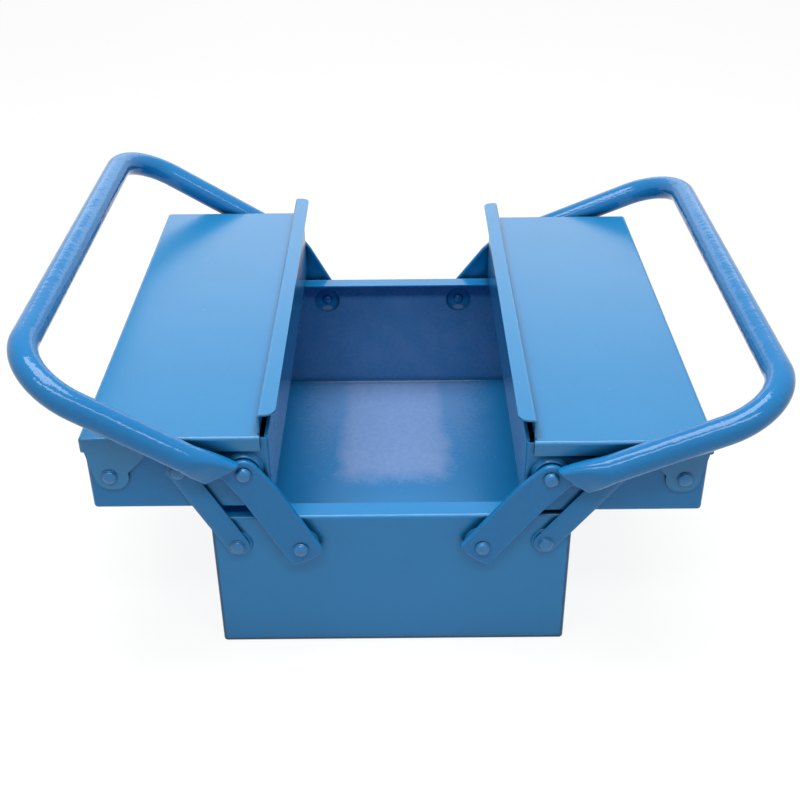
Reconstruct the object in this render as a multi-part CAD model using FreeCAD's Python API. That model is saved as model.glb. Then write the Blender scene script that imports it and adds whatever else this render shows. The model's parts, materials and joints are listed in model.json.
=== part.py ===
import FreeCAD, Part
import math
import os
from FreeCAD import Vector

# Cantilever tool box, shown fully open: a folded sheet-steel base, two lidded trays carried out
# sideways on riveted parallelogram links, and two tube handles whose flattened ends are the
# inner links. X runs across the box, Y along its length, Z up. The origin lies at the middle
# of the base's underside. Lengths are in millimetres and angles in degrees.

# Sheet steel
sheet = 1.0
bend = 1.0
corner = 2.2
seat_gap = 0.3
overrun = 2.0

# Base
base_width = 200.0
base_length = 300.0
base_height = 91.3
base_flange = 12.5
side_hem = 8.0
side_rim_setback = 6.0
hem_round_share = 0.9

# Linkage
link_length = 57.8
link_inset = 14.5
left_open_lean = 28.7
right_open_lean = 37.6
closed_lean = 33.6
boss_draft = 30.0
arm_boss_diameter = 20.0
arm_boss_height = 2.4
link_boss_diameter = 16.5
link_boss_height = 1.3

# Outer links
link_width = 13.0
link_plate = 0.8
link_panel = 1.0
link_bevel = 2.1

# Trays
tray_depth = 45.0
tray_pivot_height = 25.7
tray_pivot_inset = 13.5
tray_overhang = 2.6
tray_lift = 2.2
tray_hem = 6.0
hinge_inset = 11.9
hinge_height = 22.2

# Lids
lid_overhang = 2.0
lid_end_gap = 0.8
lid_bend = 1.0
lid_flange = 8.5
riser_reach = 9.3
riser_height = 12.0
lip_reach = 18.0
lip_gap = 0.6
lip_setback = 1.5
lip_corner = 6.0
ear_radius = 8.3
ear_reach = 10.2
ear_knee = 2.3
ear_slant = 45.0

# Handles
tube_diameter = 15.9
tube_wall = 1.2
arm_width = 21.0
arm_thickness = 3.8
arm_edge = 1.6
arm_flare = 1.5
foot_reach = 9.4
foot_arch = 1.7
foot_corner = 2.5
head_radius = 8.3
head_taper = 15.5
leg_reach = 130.0
leg_offset = 3.0
grip_gap = 10.0
grip_bend = 37.0
crease_rise = 7.5
crease_start = -2.0
crease_width = 23.0
crease_depth = 9.0
crease_step = 1.6
crease_taper = 1.5
pinch_length = 24.0

# Rivets
rivet_diameter = 5.0
rivet_clearance = 0.05
head_diameter = 8.8
head_height = 2.5
tail_diameter = 7.6
tail_height = 1.7

# Places that follow from the sizes above
open_lean = {"left": left_open_lean, "right": right_open_lean}
closed_pivot = lip_reach + lip_gap / 2
base_pivot_x = closed_pivot + link_length * math.sin(math.radians(closed_lean))
link_spacing = base_width / 2 - link_inset - base_pivot_x
lowest_link_rise = link_length * math.cos(math.radians(max(open_lean.values())))
base_pivot_z = base_height + tray_lift + tray_pivot_height - lowest_link_rise
side_rim = base_height + tray_lift - seat_gap
tray_width = base_width / 2 + tray_overhang - closed_pivot + tray_pivot_inset
half_length = base_length / 2
tube_radius = tube_diameter / 2
arm_back = half_length + arm_boss_height + seat_gap
arm_front = arm_back + arm_thickness
link_back = half_length + link_boss_height + seat_gap
link_front = link_back + link_plate + link_panel
lid_half_length = half_length + lid_end_gap + sheet

# The legs turn out from the arms so far that the two grips lie side by side when the box is shut.
closed_grip = tube_radius + grip_gap / 2 - closed_pivot
grip_distance = math.hypot(leg_offset, leg_reach)
closed_leg_turn = math.asin(closed_grip / grip_distance) - math.atan2(leg_offset, leg_reach)
leg_turn = math.radians(closed_lean) + closed_leg_turn

near = sheet / 10
up = Vector(0, 0, 1)
out = Vector(1, 0, 0)
front = Vector(0, -1, 0)


def box(low, high):
    """Upright block between two opposite corners."""
    size = high - low
    return Part.makeBox(size.x, size.y, size.z, low)


def edges_where(shape, test):
    """Edges whose middle point and direction pass the test."""
    chosen = []
    for edge in shape.Edges:
        start, end = edge.Vertexes[0].Point, edge.Vertexes[-1].Point
        if test((start + end) / 2, (end - start).normalize()):
            chosen.append(edge)
    return chosen


def is_upright(way):
    return abs(way.z) > abs(way.x) + abs(way.y)


def rounded_block(low, high, upright_radius, foot_radius):
    """Block with rounded upright corners and a rounded foot."""
    block = box(low, high)
    block = block.makeFillet(upright_radius, edges_where(block, lambda middle, way: is_upright(way)))
    foot = [edge for edge in block.Edges if edge.BoundBox.ZMax < low.z + near]
    return block.makeFillet(foot_radius, foot)


def tub(low, high):
    """Open folded tub: a rounded block less its inside."""
    outer = rounded_block(low, high, corner, bend + sheet)
    inner_low = low + Vector(sheet, sheet, sheet)
    inner_high = high + Vector(-sheet, -sheet, overrun)
    inner = rounded_block(inner_low, inner_high, corner - sheet, bend)
    return outer.cut(inner)


def cone_between(centre, way, start, start_radius, end, end_radius):
    """Cone frustum about an axis, between two distances along it."""
    return Part.makeCone(start_radius, end_radius, end - start, centre + way * start, way)


def press_boss(wall, centre, way, diameter, height):
    """Press a round boss out of an end wall, dimple behind, and pierce it for the rivet."""
    slope = math.tan(math.radians(boss_draft))
    foot = diameter / 2
    face = foot - height * slope
    thin = sheet * math.tan(math.radians((90 - boss_draft) / 2))
    wall = wall.fuse(cone_between(centre, way, -sheet / 2, foot + sheet / 2 * slope, height, face))
    dimple = cone_between(centre, way, -sheet, foot - thin, height - sheet, face - thin)
    entry = Part.makeCylinder(foot - thin, overrun, centre - way * (sheet + overrun), way)
    return wall.cut(dimple.fuse(entry)).cut(rivet_hole(centre, way, -sheet - overrun, height + overrun))


def rivet_hole(centre, way, start, end):
    radius = rivet_diameter / 2 + rivet_clearance
    return Part.makeCylinder(radius, end - start, centre + way * start, way)


def ends():
    """The two ends of the box: name, and the direction that points out of its end wall."""
    return (("front", front), ("back", front * -1))


def rivet(centre, way, inside, outside):
    """Domed rivet: its tail closes on one face and its head stands on the other."""
    shank, head, tail = rivet_diameter / 2, head_diameter / 2, tail_diameter / 2
    tail_tip = Vector(0, 0, inside - tail_height)
    head_tip = Vector(0, 0, outside + head_height)
    lines = Part.makePolygon([Vector(tail, 0, inside), Vector(shank, 0, inside),
                              Vector(shank, 0, outside), Vector(head, 0, outside)])
    outline = Part.Wire([dome_edge(Vector(head, 0, outside), head_tip)] + lines.Edges[::-1] +
                        [dome_edge(Vector(tail, 0, inside), tail_tip), Part.makeLine(tail_tip, head_tip)])
    body = Part.Face(outline).revolve(Vector(0, 0, 0), up, 360)
    body.Placement = FreeCAD.Placement(centre, FreeCAD.Rotation(up, way))
    return body


def dome_edge(rim, tip):
    """Arc from the rim of a dome to its tip, level at the tip."""
    rise = tip.z - rim.z
    radius = (rim.x ** 2 + rise ** 2) / (2 * rise)
    centre = Vector(0, 0, tip.z - radius)
    half_way = math.atan2(rim.x, rim.z - centre.z) / 2
    if radius < 0:
        half_way = math.atan2(rim.x, centre.z - rim.z) / 2
    middle = centre + Vector(abs(radius) * math.sin(half_way), 0, radius * math.cos(half_way))
    return Part.Arc(rim, middle, tip).toShape()


def folded_run(points, radii):
    """Edges of an open run of straight stretches joined by arcs."""
    edges = []
    here = points[0]
    for before, point, after, radius in zip(points, points[1:], points[2:], radii):
        way_in = (point - before).normalize()
        way_out = (after - point).normalize()
        turn = way_in.getAngle(way_out)
        tangent = radius * math.tan(turn / 2)
        inward = (way_out - way_in).normalize()
        middle = point + inward * (radius / math.cos(turn / 2) - radius)
        arc_start = point - way_in * tangent
        arc_end = point + way_out * tangent
        edges.append(Part.makeLine(here, arc_start))
        edges.append(Part.Arc(arc_start, middle, arc_end).toShape())
        here = arc_end
    edges.append(Part.makeLine(here, points[-1]))
    return edges


def folded_strip(points, low_y, high_y):
    """Sheet folded along a run of points in the XZ plane, with the steel on the run's right."""
    ways = [(after - before).normalize() for before, after in zip(points, points[1:])]
    rights = [Vector(way.z, 0, -way.x) for way in ways]
    far = [points[0] + rights[0] * sheet]
    near_radii, far_radii = [], []
    for index in range(1, len(ways)):
        before, after = rights[index - 1], rights[index]
        far.append(points[index] + (before + after) * (sheet / (1 + before.dot(after))))
        turns_right = ways[index].dot(before) > 0
        near_radii.append(bend + sheet if turns_right else bend)
        far_radii.append(bend if turns_right else bend + sheet)
    far.append(points[-1] + rights[-1] * sheet)
    edges = folded_run(points, near_radii) + folded_run(far, far_radii)
    edges += [Part.makeLine(points[0], far[0]), Part.makeLine(points[-1], far[-1])]
    section = Part.Face(Part.Wire(Part.__sortEdges__(edges)))
    section.translate(Vector(0, low_y, 0))
    return section.extrude(Vector(0, high_y - low_y, 0))


def base_box():
    """Base: rounded tub, inward flanges on the end walls, hemmed side rims that the trays rest on."""
    half_width = base_width / 2
    low = Vector(-half_width, -half_length, 0)
    high = Vector(half_width, half_length, base_height)
    outer = rounded_block(low, high, corner, bend + sheet)
    outer = outer.makeFillet(bend + sheet, end_edges(outer, half_length))
    inner = rounded_block(low + Vector(sheet, sheet, sheet), high - Vector(sheet, sheet, sheet),
                          corner - sheet, bend)
    inner = inner.makeFillet(bend, end_edges(inner, half_length - sheet))
    mouth_half_length = half_length - base_flange
    mouth = box(Vector(-half_width + sheet, -mouth_half_length, base_height / 2),
                Vector(half_width - sheet, mouth_half_length, base_height + overrun))
    shell = outer.cut(inner).cut(mouth)
    for side in (-1, 1):
        shell = shell.fuse(side_rim_strip(side, half_width, mouth_half_length - side_rim_setback))
    for name, way in ends():
        for side in (-1, 1):
            arm_centre = Vector(side * base_pivot_x, 0, base_pivot_z) + way * half_length
            link_centre = arm_centre + out * (side * link_spacing)
            shell = press_boss(shell, arm_centre, way, arm_boss_diameter, arm_boss_height)
            shell = press_boss(shell, link_centre, way, link_boss_diameter, link_boss_height)
    return shell.removeSplitter()


def end_edges(block, half):
    """Top edges of a block's two ends, clear of its rounded corners."""
    top = block.BoundBox.ZMax
    return edges_where(block, lambda middle, way: abs(middle.z - top) < near and
                       abs(way.x) > abs(way.y) and abs(abs(middle.y) - half) < near)


def side_rim_strip(side, half_width, half_run):
    """Raised rim of a side wall, turned in and pressed flat on itself."""
    inner_x, outer_x = sorted((side * (half_width - 2 * sheet), side * half_width))
    low = Vector(inner_x, -half_run, side_rim - side_hem)
    rim = box(low, Vector(outer_x, half_run, side_rim))
    fold = edges_where(rim, lambda middle, way: abs(middle.z - side_rim) < near and abs(way.y) > abs(way.x))
    return rim.makeFillet(sheet * hem_round_share, fold)


def tray_pivot(lean):
    """Place of a tray's inner pivot on the right-hand side."""
    angle = math.radians(lean)
    return Vector(base_pivot_x + link_length * math.sin(angle), 0, base_pivot_z + link_length * math.cos(angle))


def tray_corners(lean):
    """Inner bottom and outer top corners of a tray on the right-hand side."""
    pivot = tray_pivot(lean)
    low = Vector(pivot.x - tray_pivot_inset, -half_length, pivot.z - tray_pivot_height)
    high = low + Vector(tray_width, base_length, tray_depth)
    return low, high


def lid_hinge(lean):
    low, high = tray_corners(lean)
    return Vector(high.x - hinge_inset, 0, low.z + hinge_height)


def tray(lean):
    """Tray: rounded tub with hemmed long walls, cut low by the hinge so that the lid can turn."""
    low, high = tray_corners(lean)
    hinge = lid_hinge(lean)
    shell = tub(low, high)
    swing = high.z - hinge.z
    outer_top = hinge.z + math.sqrt(swing ** 2 - hinge_inset ** 2)
    for wall_x, top in ((low.x + sheet, high.z), (high.x - 2 * sheet, outer_top)):
        shell = shell.fuse(box(Vector(wall_x, low.y + corner, top - tray_hem),
                               Vector(wall_x + sheet, high.y - corner, top)))
    outside = high.x + overrun
    above = high.z + overrun
    corners = [Vector(hinge.x, 0, high.z), Vector(high.x, 0, outer_top), Vector(outside, 0, outer_top),
               Vector(outside, 0, above), Vector(hinge.x, 0, above), Vector(hinge.x, 0, high.z)]
    slope = Part.Face(Part.makePolygon(corners))
    slope.translate(Vector(0, low.y - overrun, 0))
    shell = shell.cut(slope.extrude(Vector(0, base_length + 2 * overrun, 0)))
    for name, way in ends():
        inner_pivot = tray_pivot(lean) + way * half_length
        outer_pivot = inner_pivot + out * link_spacing
        shell = press_boss(shell, inner_pivot, way, arm_boss_diameter, arm_boss_height)
        shell = press_boss(shell, outer_pivot, way, link_boss_diameter, link_boss_height)
        shell = shell.cut(rivet_hole(hinge + way * half_length, way, -sheet - overrun, overrun))
    return shell.removeSplitter()


def lid(lean):
    """Lid: flanged cover, finger lip folded up along its free edge, and two hinge ears."""
    low, high = tray_corners(lean)
    pivot = tray_pivot(lean)
    top = high.z + seat_gap + sheet
    riser_x = pivot.x - riser_reach
    fold_end = riser_x + 2 * (bend + sheet)
    lip_half_length = half_length - lip_setback
    cap_low = Vector(riser_x, -lid_half_length, top - lid_flange)
    cap_high = Vector(high.x + lid_overhang, lid_half_length, top)
    outer = lid_block(cap_low, cap_high, corner, lid_bend + sheet)
    inner = lid_block(cap_low + Vector(-overrun, sheet, -overrun), cap_high - Vector(sheet, sheet, sheet),
                      corner - sheet, lid_bend)
    fold_space = box(Vector(riser_x - overrun, -lip_half_length, cap_low.z - overrun),
                     Vector(fold_end, lip_half_length, top + overrun))
    cap = outer.cut(inner).cut(fold_space)
    run = [Vector(fold_end + sheet, 0, top - sheet), Vector(riser_x, 0, top - sheet),
           Vector(riser_x, 0, top + riser_height - sheet),
           Vector(pivot.x - lip_reach, 0, top + riser_height - sheet)]
    strip = folded_strip(run, -lip_half_length, lip_half_length)
    tip = pivot.x - lip_reach
    strip = strip.makeFillet(lip_corner, edges_where(
        strip, lambda middle, way: abs(middle.x - tip) < near and abs(way.z) > abs(way.y)))
    cap = cap.fuse(strip)
    for name, way in ends():
        cap = cap.fuse(lid_ear(lid_hinge(lean), cap_low, cap_high, way))
        cap = cap.cut(rivet_hole(lid_hinge(lean) + way * half_length, way, -overrun, lid_end_gap + sheet + overrun))
    return cap.removeSplitter()


def lid_block(low, high, upright_radius, top_radius):
    """Block rounded at its two outer corners and along its front, back and outer top edges."""
    block = box(low, high)
    corners = edges_where(block, lambda middle, way: is_upright(way) and middle.x > high.x - near)
    block = block.makeFillet(upright_radius, corners)
    rim = [edge for edge in block.Edges
           if edge.BoundBox.ZMin > high.z - near and edge.BoundBox.XMax > low.x + near]
    return block.makeFillet(top_radius, rim)


def arc_about(centre, start, end):
    """The shorter arc between two points that lie at the same distance from a centre."""
    middle = (start - centre + end - centre).normalize() * (start - centre).Length
    return Part.Arc(start, centre + middle, end).toShape()


def touch_point(centre, radius, outside):
    """Where a line from an outside point touches a circle, going clockwise round it seen from the front."""
    reach = outside - centre
    angle = math.atan2(reach.z, reach.x) - math.acos(radius / reach.Length)
    return centre + Vector(math.cos(angle), 0, math.sin(angle)) * radius


def lid_ear(hinge, cap_low, cap_high, way):
    """Ear that hangs from an end flange round the hinge rivet."""
    flank = hinge - out * ear_reach
    knee = flank + up * ear_knee
    rise = cap_low.z + sheet - knee.z
    inner_top = knee + Vector(-rise / math.tan(math.radians(ear_slant)), 0, rise)
    inner_centre = flank + out * ear_radius
    inner_foot = inner_centre - up * ear_radius
    outer_foot = hinge - up * ear_radius
    outer_top = Vector(cap_high.x - corner, 0, cap_low.z + sheet)
    outer_touch = touch_point(hinge, ear_radius, outer_top)
    outline = Part.Wire([Part.makeLine(inner_top, knee), Part.makeLine(knee, flank),
                         arc_about(inner_centre, flank, inner_foot), Part.makeLine(inner_foot, outer_foot),
                         arc_about(hinge, outer_foot, outer_touch), Part.makeLine(outer_touch, outer_top),
                         Part.makeLine(outer_top, inner_top)])
    ear = Part.Face(outline)
    ear.translate(way * (half_length + lid_end_gap))
    return ear.extrude(way * sheet)


def stadium(foot, head, width):
    """Closed outline with straight flanks and a half circle round each end point."""
    along = (head - foot).normalize()
    side = Vector(along.z, 0, -along.x) * (width / 2)
    tip = along * (width / 2)
    return Part.Wire([Part.makeLine(foot + side, head + side),
                      Part.Arc(head + side, head + tip, head - side).toShape(),
                      Part.makeLine(head - side, foot - side),
                      Part.Arc(foot - side, foot - tip, foot + side).toShape()])


def lean_over(shape, lean):
    """Lean an upright link or handle outward about its base pivot."""
    return shape.rotate(Vector(base_pivot_x, 0, base_pivot_z), Vector(0, 1, 0), lean)


def outer_link(way, lean):
    """Stamped link: flat plate with a raised panel between its bevelled edges."""
    foot = Vector(base_pivot_x, 0, base_pivot_z)
    head = foot + up * link_length
    plate = Part.Face(stadium(foot, head, link_width)).extrude(way * link_plate)
    panel_foot = stadium(foot, head, link_width)
    panel_top = stadium(foot, head, link_width - 2 * link_bevel)
    panel_foot.translate(way * link_plate)
    panel_top.translate(way * (link_plate + link_panel))
    link = plate.fuse(Part.makeLoft([panel_foot, panel_top], True, True))
    link.translate(way * link_back)
    for pivot in (foot, head):
        link = link.cut(rivet_hole(pivot, way, link_back - overrun, link_front + overrun))
    link = lean_over(link.removeSplitter(), lean)
    link.translate(out * link_spacing)
    return link


def flat_section(centre, across, outward, width, depth):
    """Flattened tube section: two straight sides closed by half circles."""
    run = across * ((width - depth) / 2)
    half = outward * (depth / 2)
    tip = across * (width / 2)
    return Part.Wire([Part.makeLine(centre - run + half, centre + run + half),
                      Part.Arc(centre + run + half, centre + tip, centre + run - half).toShape(),
                      Part.makeLine(centre + run - half, centre - run - half),
                      Part.Arc(centre - run - half, centre - tip, centre - run + half).toShape()])


def round_section(centre, across, outward, radius):
    """Round tube section in four arcs that match the sides of a flattened one."""
    points = []
    for eighth in range(9):
        angle = math.radians(135 - 45 * eighth)
        points.append(centre + across * (radius * math.cos(angle)) + outward * (radius * math.sin(angle)))
    return Part.Wire([Part.Arc(points[i], points[i + 1], points[i + 2]).toShape() for i in range(0, 8, 2)])


def leg_point(distance, way):
    """Point on the axis of an upright handle's leg, measured from its tray pivot."""
    pivot = Vector(base_pivot_x, 0, base_pivot_z + link_length)
    along = Vector(math.sin(leg_turn), 0, math.cos(leg_turn))
    aside = Vector(math.cos(leg_turn), 0, -math.sin(leg_turn))
    return pivot + aside * leg_offset + along * distance + way * (arm_back + tube_radius)


def arm_outline(foot, head):
    """Outline of a flattened tube end: a shallow arc at the foot, and a head that narrows round its pivot."""
    half = out * (arm_width / 2)
    heel = foot - up * (foot_reach - foot_arch)
    waist = head - up * head_taper
    touch = touch_point(head, head_radius, waist - half)
    crown = head + up * head_radius
    shoulder = head + half + out * arm_flare + up * (crease_rise - crease_step)
    return Part.Wire([Part.Arc(heel - half, foot - up * foot_reach, heel + half).toShape(),
                      Part.makeLine(heel + half, waist + half), Part.makeLine(waist + half, shoulder),
                      Part.makeLine(shoulder, crown), arc_about(head, crown, touch),
                      Part.makeLine(touch, waist - half), Part.makeLine(waist - half, heel - half)])


def handle_arm(way):
    """Flattened end of the tube: the inner link, from the base pivot to the tray pivot."""
    foot = Vector(base_pivot_x, 0, base_pivot_z)
    head = foot + up * link_length
    plate = Part.Face(arm_outline(foot, head)).extrude(way * arm_thickness)
    plate = plate.makeFillet(foot_corner, [edge for edge in plate.Edges if edge.BoundBox.ZMax < foot.z
                                           and edge.BoundBox.YLength > arm_thickness / 2])
    edges = [edge for edge in plate.Edges if edge.BoundBox.YLength < arm_thickness / 2]
    plate = plate.makeFillet(arm_edge, edges)
    plate.translate(way * arm_back)
    return plate


def handle_pinch(way):
    """Stretch where the round tube is pinched down to the flat arm, with a sharp step at its crease."""
    pivot = Vector(base_pivot_x, 0, base_pivot_z + link_length)
    crease_centre = crease_start + crease_width / 2
    crease = pivot + out * crease_centre + up * crease_rise
    wide = flat_section(crease + way * (arm_back + crease_depth / 2), out, way, crease_width, crease_depth)
    thin = flat_section(crease - up * crease_step + way * (arm_back + arm_thickness / 2), out, way,
                        crease_width - 2 * crease_taper, arm_thickness)
    aside = Vector(math.cos(leg_turn), 0, -math.sin(leg_turn))
    full = round_section(leg_point(crease_rise + pinch_length, way), aside, way, tube_radius)
    return Part.makeLoft([full, wide], True, True).fuse(Part.makeLoft([wide, thin], True, True))


def handle_tube():
    """Round hollow tube: up one leg, across the grip and down the other leg."""
    start = crease_rise + pinch_length
    run = [leg_point(start, front), leg_point(leg_reach, front),
           leg_point(leg_reach, front * -1), leg_point(start, front * -1)]
    spine = Part.Wire(folded_run(run, [grip_bend, grip_bend]))
    along = Vector(math.sin(leg_turn), 0, math.cos(leg_turn))
    skin, bore = [spine.makePipeShell([Part.Wire(Part.makeCircle(radius, run[0], along))], True, False)
                  for radius in (tube_radius, tube_radius - tube_wall)]
    return skin.cut(bore)


def handle(lean):
    """Handle: one bent tube whose two flattened ends are the inner links."""
    body = handle_tube()
    for name, way in ends():
        body = body.fuse(handle_pinch(way)).fuse(handle_arm(way))
        foot = Vector(base_pivot_x, 0, base_pivot_z)
        for pivot in (foot, foot + up * link_length):
            body = body.cut(rivet_hole(pivot, way, arm_back - overrun, arm_front + overrun))
    return lean_over(body.removeSplitter(), lean)


def side_pieces(lean):
    """Every piece of the right-hand side, by name."""
    pieces = {"tray": tray(lean), "lid": lid(lean), "handle": handle(lean)}
    base_pivot = Vector(base_pivot_x, 0, base_pivot_z)
    arm_inside = half_length + arm_boss_height - sheet
    link_inside = half_length + link_boss_height - sheet
    arm_stack = (arm_inside, arm_front + seat_gap)
    link_stack = (link_inside, link_front + seat_gap)
    ear_stack = (half_length - sheet, lid_half_length + seat_gap)
    places = {"base_arm_rivet": (base_pivot, arm_stack), "tray_arm_rivet": (tray_pivot(lean), arm_stack),
              "base_link_rivet": (base_pivot + out * link_spacing, link_stack),
              "tray_link_rivet": (tray_pivot(lean) + out * link_spacing, link_stack),
              "lid_hinge_rivet": (lid_hinge(lean), ear_stack)}
    for end, way in ends():
        pieces["outer_link_" + end] = outer_link(way, lean)
        for name, (centre, stack) in places.items():
            pieces[name + "_" + end] = rivet(centre, way, *stack)
    return pieces


def all_pieces():
    pieces = {"base_box": base_box()}
    for side, lean in open_lean.items():
        for name, shape in side_pieces(lean).items():
            if side == "left":
                shape = shape.mirror(Vector(0, 0, 0), out)
            pieces[name + "_" + side] = shape
    return pieces


os.makedirs("parts", exist_ok=True)
for name, shape in all_pieces().items():
    solids = shape.Solids
    print(name, "solids", len(solids), "volume", round(shape.Volume), "valid", shape.isValid())
    solids[0].exportStep("parts/" + name + ".step")
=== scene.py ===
# %% [markdown]
# # A cantilever tool box in thick blue enamel
#
# The real object is a small steel tool box, shown fully open. A deep folded base stands on the ground, and two
# lidded trays are held out beside it by riveted links. Each side has one bent tube handle, and the flattened ends
# of the tube are the inner links.
#
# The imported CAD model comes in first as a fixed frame: every sheet, link and rivet is at its true size and place.
# What a CAD solid lacks is what this file adds, which is soft painted edges, a tube that is smooth to look along,
# domed rivets with paint run up to them, and enamel that ripples the light.

# %% Load the frame
import json
import math

import bmesh
import bpy
from mathutils import Matrix, Vector


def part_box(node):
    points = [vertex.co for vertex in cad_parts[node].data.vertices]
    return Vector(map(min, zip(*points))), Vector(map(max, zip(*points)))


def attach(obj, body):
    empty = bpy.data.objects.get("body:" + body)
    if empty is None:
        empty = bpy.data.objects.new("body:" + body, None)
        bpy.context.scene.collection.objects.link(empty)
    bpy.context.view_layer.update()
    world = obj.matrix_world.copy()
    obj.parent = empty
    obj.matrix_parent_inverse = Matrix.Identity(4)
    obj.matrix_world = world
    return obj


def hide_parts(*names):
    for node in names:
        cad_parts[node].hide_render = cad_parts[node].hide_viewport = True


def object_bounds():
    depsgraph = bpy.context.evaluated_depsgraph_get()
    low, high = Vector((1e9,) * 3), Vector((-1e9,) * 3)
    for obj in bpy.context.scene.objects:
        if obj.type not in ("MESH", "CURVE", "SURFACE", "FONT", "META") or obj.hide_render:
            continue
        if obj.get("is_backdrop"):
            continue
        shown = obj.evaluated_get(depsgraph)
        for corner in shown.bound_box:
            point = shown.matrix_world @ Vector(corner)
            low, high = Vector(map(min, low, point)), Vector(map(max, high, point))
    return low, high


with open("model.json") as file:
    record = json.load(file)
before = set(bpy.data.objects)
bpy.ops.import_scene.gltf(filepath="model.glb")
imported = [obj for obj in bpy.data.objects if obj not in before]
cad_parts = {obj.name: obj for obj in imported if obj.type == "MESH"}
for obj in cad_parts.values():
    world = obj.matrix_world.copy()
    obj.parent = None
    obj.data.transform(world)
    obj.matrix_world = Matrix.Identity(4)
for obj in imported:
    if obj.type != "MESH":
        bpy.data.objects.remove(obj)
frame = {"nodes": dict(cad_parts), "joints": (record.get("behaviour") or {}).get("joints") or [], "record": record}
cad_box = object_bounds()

MM = 0.001
scene = bpy.context.scene
pivots = {joint["name"]: Vector(joint["pos_m"]) for joint in frame["joints"]}

# %% [markdown]
# ## The camera
#
# A camera is a place, a direction and a lens. These numbers were solved from the photograph: straight edges of the
# box run to vanishing points, and those give the focal length and the tilt. The camera was held about half a
# degree off level, and the picture was cropped a little above its middle, which is what the small shift stands
# for. Depth of field stays off.

# %% Camera
sensor_width = 36.0
picture_pixels = 800.0
focal_pixels = 1190.5
shift_pixels = 36.9
camera_place = (0.00645, -0.6740, 0.48542)
drop, turn, roll = math.radians(33.15), math.radians(0.14), math.radians(-0.60)

camera_data = bpy.data.cameras.new("camera")
camera_data.sensor_width = sensor_width
camera_data.lens = focal_pixels / picture_pixels * sensor_width
camera_data.shift_y = shift_pixels / picture_pixels
camera = bpy.data.objects.new("camera", camera_data)
camera.location = camera_place
lift = math.radians(90) - drop
aim = Matrix.Rotation(turn, 3, "Z") @ Matrix.Rotation(lift, 3, "X") @ Matrix.Rotation(roll, 3, "Z")
camera.rotation_euler = aim.to_euler()
scene.collection.objects.link(camera)
scene.camera = camera
print("lens", round(camera_data.lens, 2), "mm")

# %% [markdown]
# ## Wiring nodes from a script
#
# Materials, the world and Geometry Nodes are all trees of nodes. In the editor a node is placed with a click and
# wired with a drag. In a script both take a line each, so one helper does them together: it makes a node, sets
# its options, and then fills each input with either a plain value or another node's output. Sums and products of
# outputs are needed so often that they have short helpers of their own.

# %% Node helper
def wire(tree, kind, inputs=None, **options):
    made = tree.nodes.new(kind)
    for name, value in options.items():
        setattr(made, name, value)
    for name, value in (inputs or {}).items():
        if isinstance(value, bpy.types.NodeSocket):
            tree.links.new(value, made.inputs[name])
        else:
            made.inputs[name].default_value = value
    return made


def calculate(tree, operation, *values):
    node = wire(tree, "ShaderNodeMath", dict(enumerate(values)), operation=operation)
    return node.outputs[0]


def times(tree, first, second):
    return calculate(tree, "MULTIPLY", first, second)


def plus(tree, first, second):
    return calculate(tree, "ADD", first, second)


def blend_colors(tree, factor, first, second):
    node = wire(tree, "ShaderNodeMix", {0: factor, 6: first, 7: second}, data_type="RGBA")
    return node.outputs[2]


def ramp(tree, value, low, high, low_out=0.0, high_out=1.0):
    node = wire(tree, "ShaderNodeMapRange", {"Value": value, "From Min": low, "From Max": high,
                                             "To Min": low_out, "To Max": high_out},
                interpolation_type="SMOOTHSTEP")
    return node.outputs["Result"]


print("a ramp is soft at both ends; times and plus join two values or outputs")

# %% [markdown]
# ## The studio
#
# The photograph has a plain white ground. Turning the lamps up until the floor burns out would also bleach the
# box, so the white is made another way. A Light Path node tells a material what kind of ray is looking at it.
# For rays that come from the camera, or by way of a reflection, the floor shines with a white of its own, and
# only a small share of it is lit, which keeps the shadow on it faint. For the soft light that the floor throws
# back at the box it stays a plain pale grey.

# %% White ground
def seen_directly(tree):
    """1 for rays from the camera, from a glossy surface or through glass, else 0."""
    path = wire(tree, "ShaderNodeLightPath")
    camera_or_gloss = plus(tree, path.outputs["Is Camera Ray"], path.outputs["Is Glossy Ray"])
    total = plus(tree, camera_or_gloss, path.outputs["Is Transmission Ray"])
    return calculate(tree, "MINIMUM", total, 1.0)


ground_grey, ground_dark, ground_glow = (0.72, 0.72, 0.72, 1), (0.12, 0.12, 0.12, 1), 0.90
floor_reach, floor_gap = 6.0, 0.2 * MM

floor_material = bpy.data.materials.new("studio_floor")
floor_material.use_nodes = True
tree = floor_material.node_tree
tree.nodes.clear()
grain = wire(tree, "ShaderNodeTexNoise", {"Scale": 9.0, "Detail": 2.0})
tone = ramp(tree, grain.outputs["Fac"], 0.3, 0.7, 0.985, 1.0)
plain = wire(tree, "ShaderNodeBsdfDiffuse", {"Color": ground_grey})
dark = wire(tree, "ShaderNodeBsdfDiffuse", {"Color": ground_dark})
glow = wire(tree, "ShaderNodeEmission", {"Color": (1, 1, 1, 1), "Strength": times(tree, tone, ground_glow)})
lifted = wire(tree, "ShaderNodeAddShader", {0: dark.outputs[0], 1: glow.outputs[0]})
chosen = wire(tree, "ShaderNodeMixShader", {0: seen_directly(tree), 1: plain.outputs[0], 2: lifted.outputs[0]})
wire(tree, "ShaderNodeOutputMaterial", {"Surface": chosen.outputs[0]})

floor_mesh = bpy.data.meshes.new("studio_floor")
floor_corners = [(x * floor_reach, y * floor_reach, -floor_gap) for x, y in ((-1, -1), (1, -1), (1, 1), (-1, 1))]
floor_mesh.from_pydata(floor_corners, [], [(0, 1, 2, 3)])
floor_mesh.materials.append(floor_material)
floor = bpy.data.objects.new("studio_floor", floor_mesh)
scene.collection.objects.link(floor)
floor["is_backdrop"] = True
print("floor", 2 * floor_reach, "m wide")

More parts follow.
